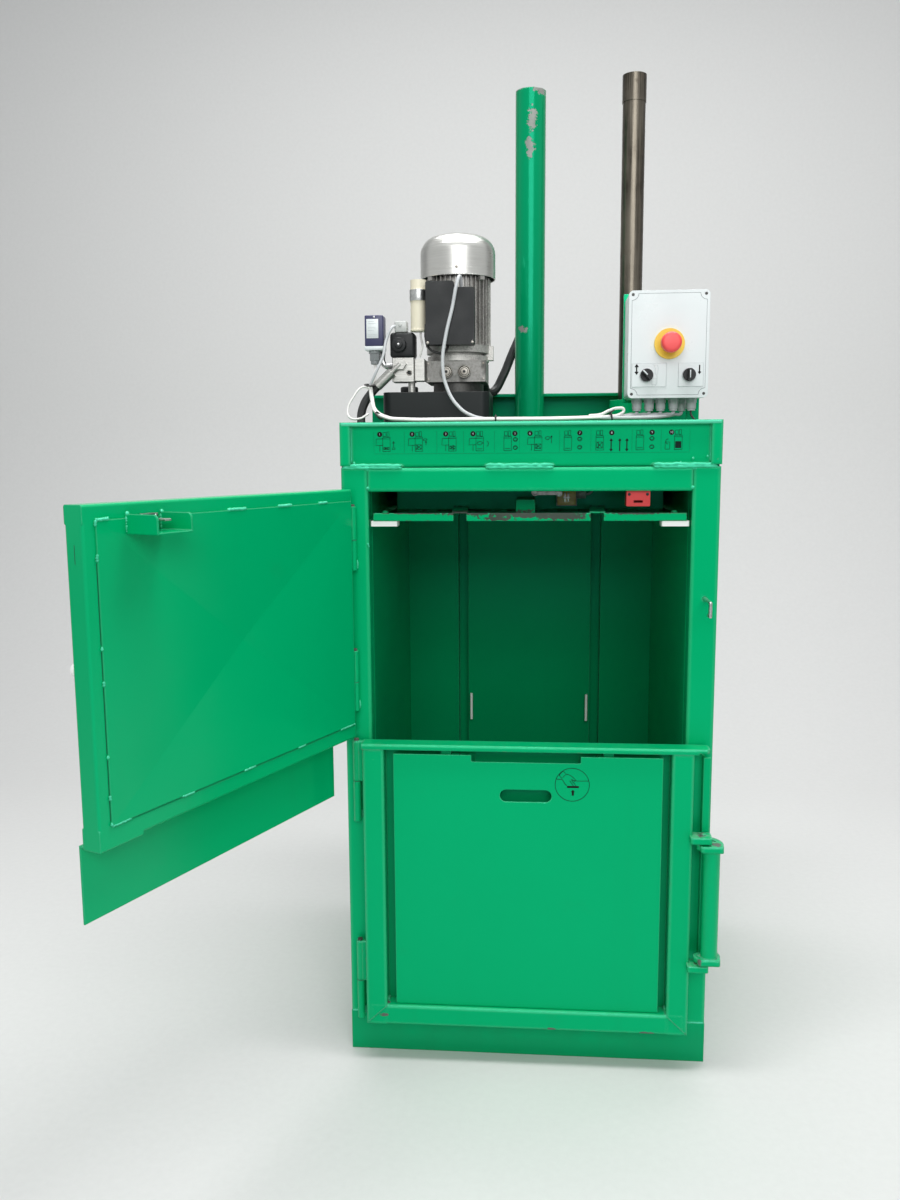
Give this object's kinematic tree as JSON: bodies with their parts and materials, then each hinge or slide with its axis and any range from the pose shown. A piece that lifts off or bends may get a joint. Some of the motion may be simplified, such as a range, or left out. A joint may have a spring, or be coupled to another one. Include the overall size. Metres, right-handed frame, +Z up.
{
  "type": "recycling baler",
  "caption": "Small vertical recycling baler with a loading door over a bale gate, and a hydraulic cylinder that drives a guided platen down into a steel chamber.",
  "frame": {"origin": "centre of the plinth's underside, on the floor", "axes": "+X to the right seen from the front, +Y from the front into the machine, +Z up"},
  "size_m": [1.073, 1.3804, 2.113],
  "materials": {
    "green_paint": "satin paint",
    "inner_green": "worn dark paint",
    "black_paint": "satin paint",
    "bare_steel": "worn",
    "zinc_steel": "zinc plated",
    "bolt_steel": "blackened",
    "chromed_rod": "polished",
    "aluminium": "cast and painted",
    "cover_aluminium": "spun, painted grey",
    "black_plastic": "matt",
    "white_plastic": "fine matt",
    "grey_plastic": "matt",
    "blue_plastic": "matt",
    "cream_plastic": "matt",
    "red_plastic": "gloss",
    "yellow_plastic": "gloss",
    "nylon": "machined",
    "hose_rubber": "matt",
    "cable_plastic": "matt"
  },
  "bodies": {
    "machine": {"plinth": "green_paint", "left_post": "green_paint", "right_post": "green_paint", "top_tube": "green_paint", "left_wall": "inner_green", "right_wall": "inner_green", "rear_posts": "green_paint", "back_wall": "inner_green", "strap_hooks": "bare_steel", "header": "green_paint", "press_head": "green_paint", "top_deck": "green_paint", "hinge_knuckles": "green_paint", "hinge_pins": "bare_steel", "latch_keeper": "green_paint", "frame_bolts": "bolt_steel", "guide_collar": "green_paint", "cylinder_barrel": "green_paint", "cylinder_gland": "zinc_steel", "hydraulic_hoses": "hose_rubber", "hard_line": "zinc_steel", "oil_tank": "black_paint", "pump_unit": "black_paint", "pump_block": "aluminium", "motor_body": "aluminium", "fan_cover": "cover_aluminium", "terminal_box": "black_plastic", "capacitor": "cream_plastic", "valve_block": "zinc_steel", "solenoid_coil": "black_plastic", "pressure_switch": "blue_plastic", "box_base": "white_plastic", "box_lid": "white_plastic", "control_gear": "grey_plastic", "box_bracket": "green_paint", "estop_disc": "yellow_plastic", "cable_glands": "grey_plastic", "cable_loom": "cable_plastic", "safety_switch": "red_plastic", "limit_switch": "grey_plastic"},
    "rotor": {"motor_rotor": "bare_steel"},
    "platen": {"platen_plate": "inner_green", "nylon_pads": "nylon", "piston_rod": "chromed_rod", "guide_rod": "bare_steel"},
    "door": {"door_pan": "green_paint", "door_plate": "green_paint", "door_skirt": "green_paint", "lock_guard": "green_paint", "lock_key": "zinc_steel"},
    "gate": {"gate_frame": "green_paint", "gate_back": "inner_green", "gate_tabs": "green_paint"},
    "panel": {"lift_panel": "green_paint"},
    "latch": {"latch_handle": "green_paint"},
    "stop_button": {"estop_button": "red_plastic"},
    "left_knob": {"selector_left": "black_plastic"},
    "right_knob": {"selector_right": "black_plastic"},
    "switch_lever": {"limit_lever": "zinc_steel"},
    "catch": {"door_catch": "zinc_steel"}
  },
  "joints": [
    {"name": "door_hinge", "type": "hinge", "parent": "machine", "child": "door", "pos_m": [-0.356, -0.372, 0.9], "axis": [0, 0, -1], "range_deg": [-113.3, 8.7]},
    {"name": "gate_hinge", "type": "hinge", "parent": "machine", "child": "gate", "pos_m": [-0.356, -0.372, 0.4], "axis": [0, 0, -1], "range_deg": [0, 105]},
    {"name": "gate_latch", "type": "hinge", "parent": "gate", "child": "latch", "pos_m": [0.358, -0.404, 0.38], "axis": [0, 0, -1], "range_deg": [-23, 45]},
    {"name": "panel_lift", "type": "slide", "parent": "gate", "child": "panel", "axis": [0, 0, 1], "range_m": [0, 0.009]},
    {"name": "platen_stroke", "type": "slide", "parent": "machine", "child": "platen", "axis": [0, 0, 1], "range_m": [-0.6, 0]},
    {"name": "stop_push", "type": "slide", "parent": "machine", "child": "stop_button", "axis": [0, 1, 0], "range_m": [0, 0.006], "stiffness_N_per_m": 1500},
    {"name": "left_turn", "type": "hinge", "parent": "machine", "child": "left_knob", "pos_m": [0.235, -0.31, 1.447], "axis": [0, 1, 0], "range_deg": [0, 90]},
    {"name": "right_turn", "type": "hinge", "parent": "machine", "child": "right_knob", "pos_m": [0.319, -0.31, 1.447], "axis": [0, 1, 0], "range_deg": [0, 45], "stiffness_Nm_per_rad": 0.3},
    {"name": "lever_swing", "type": "hinge", "parent": "machine", "child": "switch_lever", "pos_m": [0.066, -0.184, 1.208], "axis": [0, 1, 0], "range_deg": [0, 18], "stiffness_Nm_per_rad": 0.4},
    {"name": "catch_turn", "type": "hinge", "parent": "machine", "child": "catch", "pos_m": [0.354, -0.36, 1.003], "axis": [0, 1, 0], "range_deg": [0, 90]},
    {"name": "rotor_spin", "type": "hinge", "parent": "machine", "child": "rotor", "pos_m": [-0.153, -0.17, 1.56], "axis": [0, 0, 1], "continuous": true}
  ]
}
